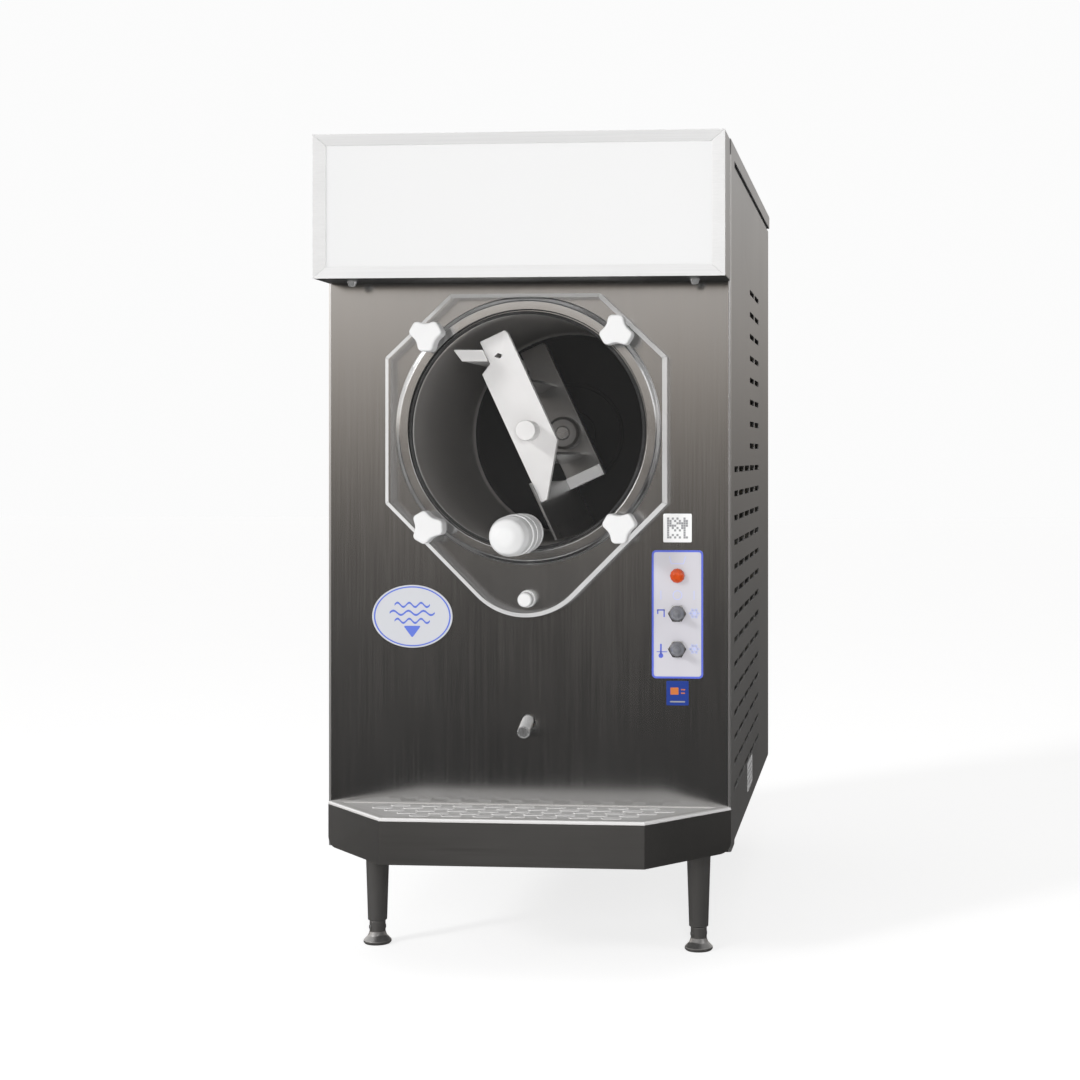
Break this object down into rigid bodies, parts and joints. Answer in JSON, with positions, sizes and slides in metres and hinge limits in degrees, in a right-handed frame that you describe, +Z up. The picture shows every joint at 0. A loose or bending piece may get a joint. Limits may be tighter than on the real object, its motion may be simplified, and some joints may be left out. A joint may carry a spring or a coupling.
{
  "type": "ice cream maker",
  "caption": "Countertop air-cooled ice cream freezer: steel cabinet on legs, lit header, clear faceplate with pull valve, turning dasher, drip tray.",
  "frame": {"origin": "centre of the footprint, on the surface that the feet stand on", "axes": "+Z up, -Y towards the user (the faceplate's side), +X to the right seen from the front"},
  "size_m": [0.4064, 0.7976, 0.846],
  "materials": {
    "steel": "brushed, vertical grain",
    "bright_steel": "fine satin",
    "polished": "polished",
    "tray_steel": "brushed, darker",
    "dark_metal": "black paint, satin",
    "grey_metal": "grey paint",
    "motor_paint": "blue-grey paint",
    "galvanised": "galvanised sheet",
    "copper": "bare copper",
    "fins": "raw fins",
    "foam": "foamed insulation",
    "white_plastic": "moulded white",
    "clear_plate": "clear acrylic with polished edges",
    "lens": "translucent white",
    "lamp": "frosted tube",
    "amber": "clear amber",
    "black_rubber": "black rubber",
    "grey_rubber": "grey rubber boot",
    "black_plastic": "black nylon",
    "overlay_film": "printed film with a blue border",
    "badge_film": "printed badge with a blue ring",
    "label_film": "printed labels"
  },
  "bodies": {
    "cabinet": {"chassis": "dark_metal", "front_panel": "steel", "left_side_panel": "steel", "right_side_panel": "steel", "rear_panel": "steel", "top_cover": "steel", "panel_screws": "bright_steel", "legs": "tray_steel", "header_box": "bright_steel", "header_lens": "lens", "header_lamp": "lamp", "header_nuts": "polished", "cylinder_flange": "polished", "freezing_cylinder": "bright_steel", "evaporator_coil": "copper", "insulation": "foam", "seal_housing": "dark_metal", "gearbox": "grey_metal", "drive_motor": "motor_paint", "v_belt": "black_rubber", "compressor": "dark_metal", "condenser": "fins", "fan_shroud": "galvanised", "fan_motor": "dark_metal", "refrigerant_lines": "copper", "control_box": "galvanised", "control_overlay": "overlay_film", "indicator_lamp": "amber", "toggle_nuts": "bright_steel", "oval_badge": "badge_film", "labels": "label_film", "drip_tray": "tray_steel", "drip_tube": "polished", "hopper": "bright_steel", "feed_tube": "white_plastic", "cord_gland": "black_plastic", "studs": "bright_steel", "locating_peg": "white_plastic"},
    "dasher": {"dasher_frame": "bright_steel", "scraper_blades": "white_plastic", "drive_shaft": "bright_steel"},
    "gear_input": {"driven_pulley": "dark_metal"},
    "motor_rotor": {"motor_pulley": "dark_metal"},
    "fan": {"fan_blade": "fins"},
    "front_plate": {"faceplate": "clear_plate", "face_o_ring": "black_rubber", "valve_body": "white_plastic"},
    "plunger": {"valve_plunger": "white_plastic"},
    "knob_ul": {"knob_upper_left": "white_plastic"},
    "knob_ur": {"knob_upper_right": "white_plastic"},
    "knob_ll": {"knob_lower_left": "white_plastic"},
    "knob_lr": {"knob_lower_right": "white_plastic"},
    "switch_upper": {"upper_toggle": "grey_rubber"},
    "switch_lower": {"lower_toggle": "grey_rubber"},
    "lid": {"hopper_lid": "bright_steel"},
    "grid": {"drip_grid": "tray_steel"},
    "foot_fl": {"foot_front_left": "bright_steel"},
    "foot_fr": {"foot_front_right": "bright_steel"},
    "foot_rl": {"foot_rear_left": "bright_steel"},
    "foot_rr": {"foot_rear_right": "bright_steel"}
  },
  "joints": [
    {"name": "dasher_spin", "type": "hinge", "parent": "cabinet", "child": "dasher", "pos_m": [0, -0.12725, 0.527], "axis": [0, 1, 0], "continuous": true},
    {"name": "gear_input_spin", "type": "hinge", "parent": "cabinet", "child": "gear_input", "pos_m": [0, 0.15275, 0.527], "axis": [0, 1, 0], "continuous": true},
    {"name": "motor_spin", "type": "hinge", "parent": "cabinet", "child": "motor_rotor", "pos_m": [-0.075, 0.15275, 0.27], "axis": [0, 1, 0], "continuous": true},
    {"name": "fan_spin", "type": "hinge", "parent": "cabinet", "child": "fan", "pos_m": [-0.09, -0.11225, 0.27], "axis": [1, 0, 0], "continuous": true},
    {"name": "front_plate_pull", "type": "slide", "parent": "cabinet", "child": "front_plate", "axis": [0, -1, 0], "range_m": [0, 0.1]},
    {"name": "plunger_pull", "type": "slide", "parent": "front_plate", "child": "plunger", "axis": [0, -1, 0], "range_m": [0, 0.024]},
    {"name": "knob_ul_turn", "type": "hinge", "parent": "front_plate", "child": "knob_ul", "pos_m": [-0.09502, -0.30725, 0.62202], "axis": [0, 1, 0], "continuous": true},
    {"name": "knob_ur_turn", "type": "hinge", "parent": "front_plate", "child": "knob_ur", "pos_m": [0.09502, -0.30725, 0.62202], "axis": [0, 1, 0], "continuous": true},
    {"name": "knob_ll_turn", "type": "hinge", "parent": "front_plate", "child": "knob_ll", "pos_m": [-0.09502, -0.30725, 0.43198], "axis": [0, 1, 0], "continuous": true},
    {"name": "knob_lr_turn", "type": "hinge", "parent": "front_plate", "child": "knob_lr", "pos_m": [0.09502, -0.30725, 0.43198], "axis": [0, 1, 0], "continuous": true},
    {"name": "switch_upper_rock", "type": "hinge", "parent": "cabinet", "child": "switch_upper", "pos_m": [0.15, -0.28045, 0.3458], "axis": [0, 0, 1], "range_deg": [-12, 12]},
    {"name": "switch_lower_rock", "type": "hinge", "parent": "cabinet", "child": "switch_lower", "pos_m": [0.15, -0.28045, 0.3106], "axis": [0, 0, 1], "range_deg": [-12, 12]},
    {"name": "lid_lift", "type": "slide", "parent": "cabinet", "child": "lid", "axis": [0, 0, 1], "range_m": [0, 0.15]},
    {"name": "grid_lift", "type": "slide", "parent": "cabinet", "child": "grid", "axis": [0, 0, 1], "range_m": [0, 0.05]},
    {"name": "foot_fl_turn", "type": "hinge", "parent": "cabinet", "child": "foot_fl", "pos_m": [-0.1662, -0.22425, 0.01], "axis": [0, 0, 1], "continuous": true},
    {"name": "foot_fr_turn", "type": "hinge", "parent": "cabinet", "child": "foot_fr", "pos_m": [0.1662, -0.22425, 0.01], "axis": [0, 0, 1], "continuous": true},
    {"name": "foot_rl_turn", "type": "hinge", "parent": "cabinet", "child": "foot_rl", "pos_m": [-0.1452, 0.32275, 0.01], "axis": [0, 0, 1], "continuous": true},
    {"name": "foot_rr_turn", "type": "hinge", "parent": "cabinet", "child": "foot_rr", "pos_m": [0.1452, 0.32275, 0.01], "axis": [0, 0, 1], "continuous": true}
  ],
  "couplings": [
    {"joint": "gear_input_spin", "follows": "dasher_spin", "ratio": 8},
    {"joint": "motor_spin", "follows": "dasher_spin", "ratio": 19.077}
  ]
}
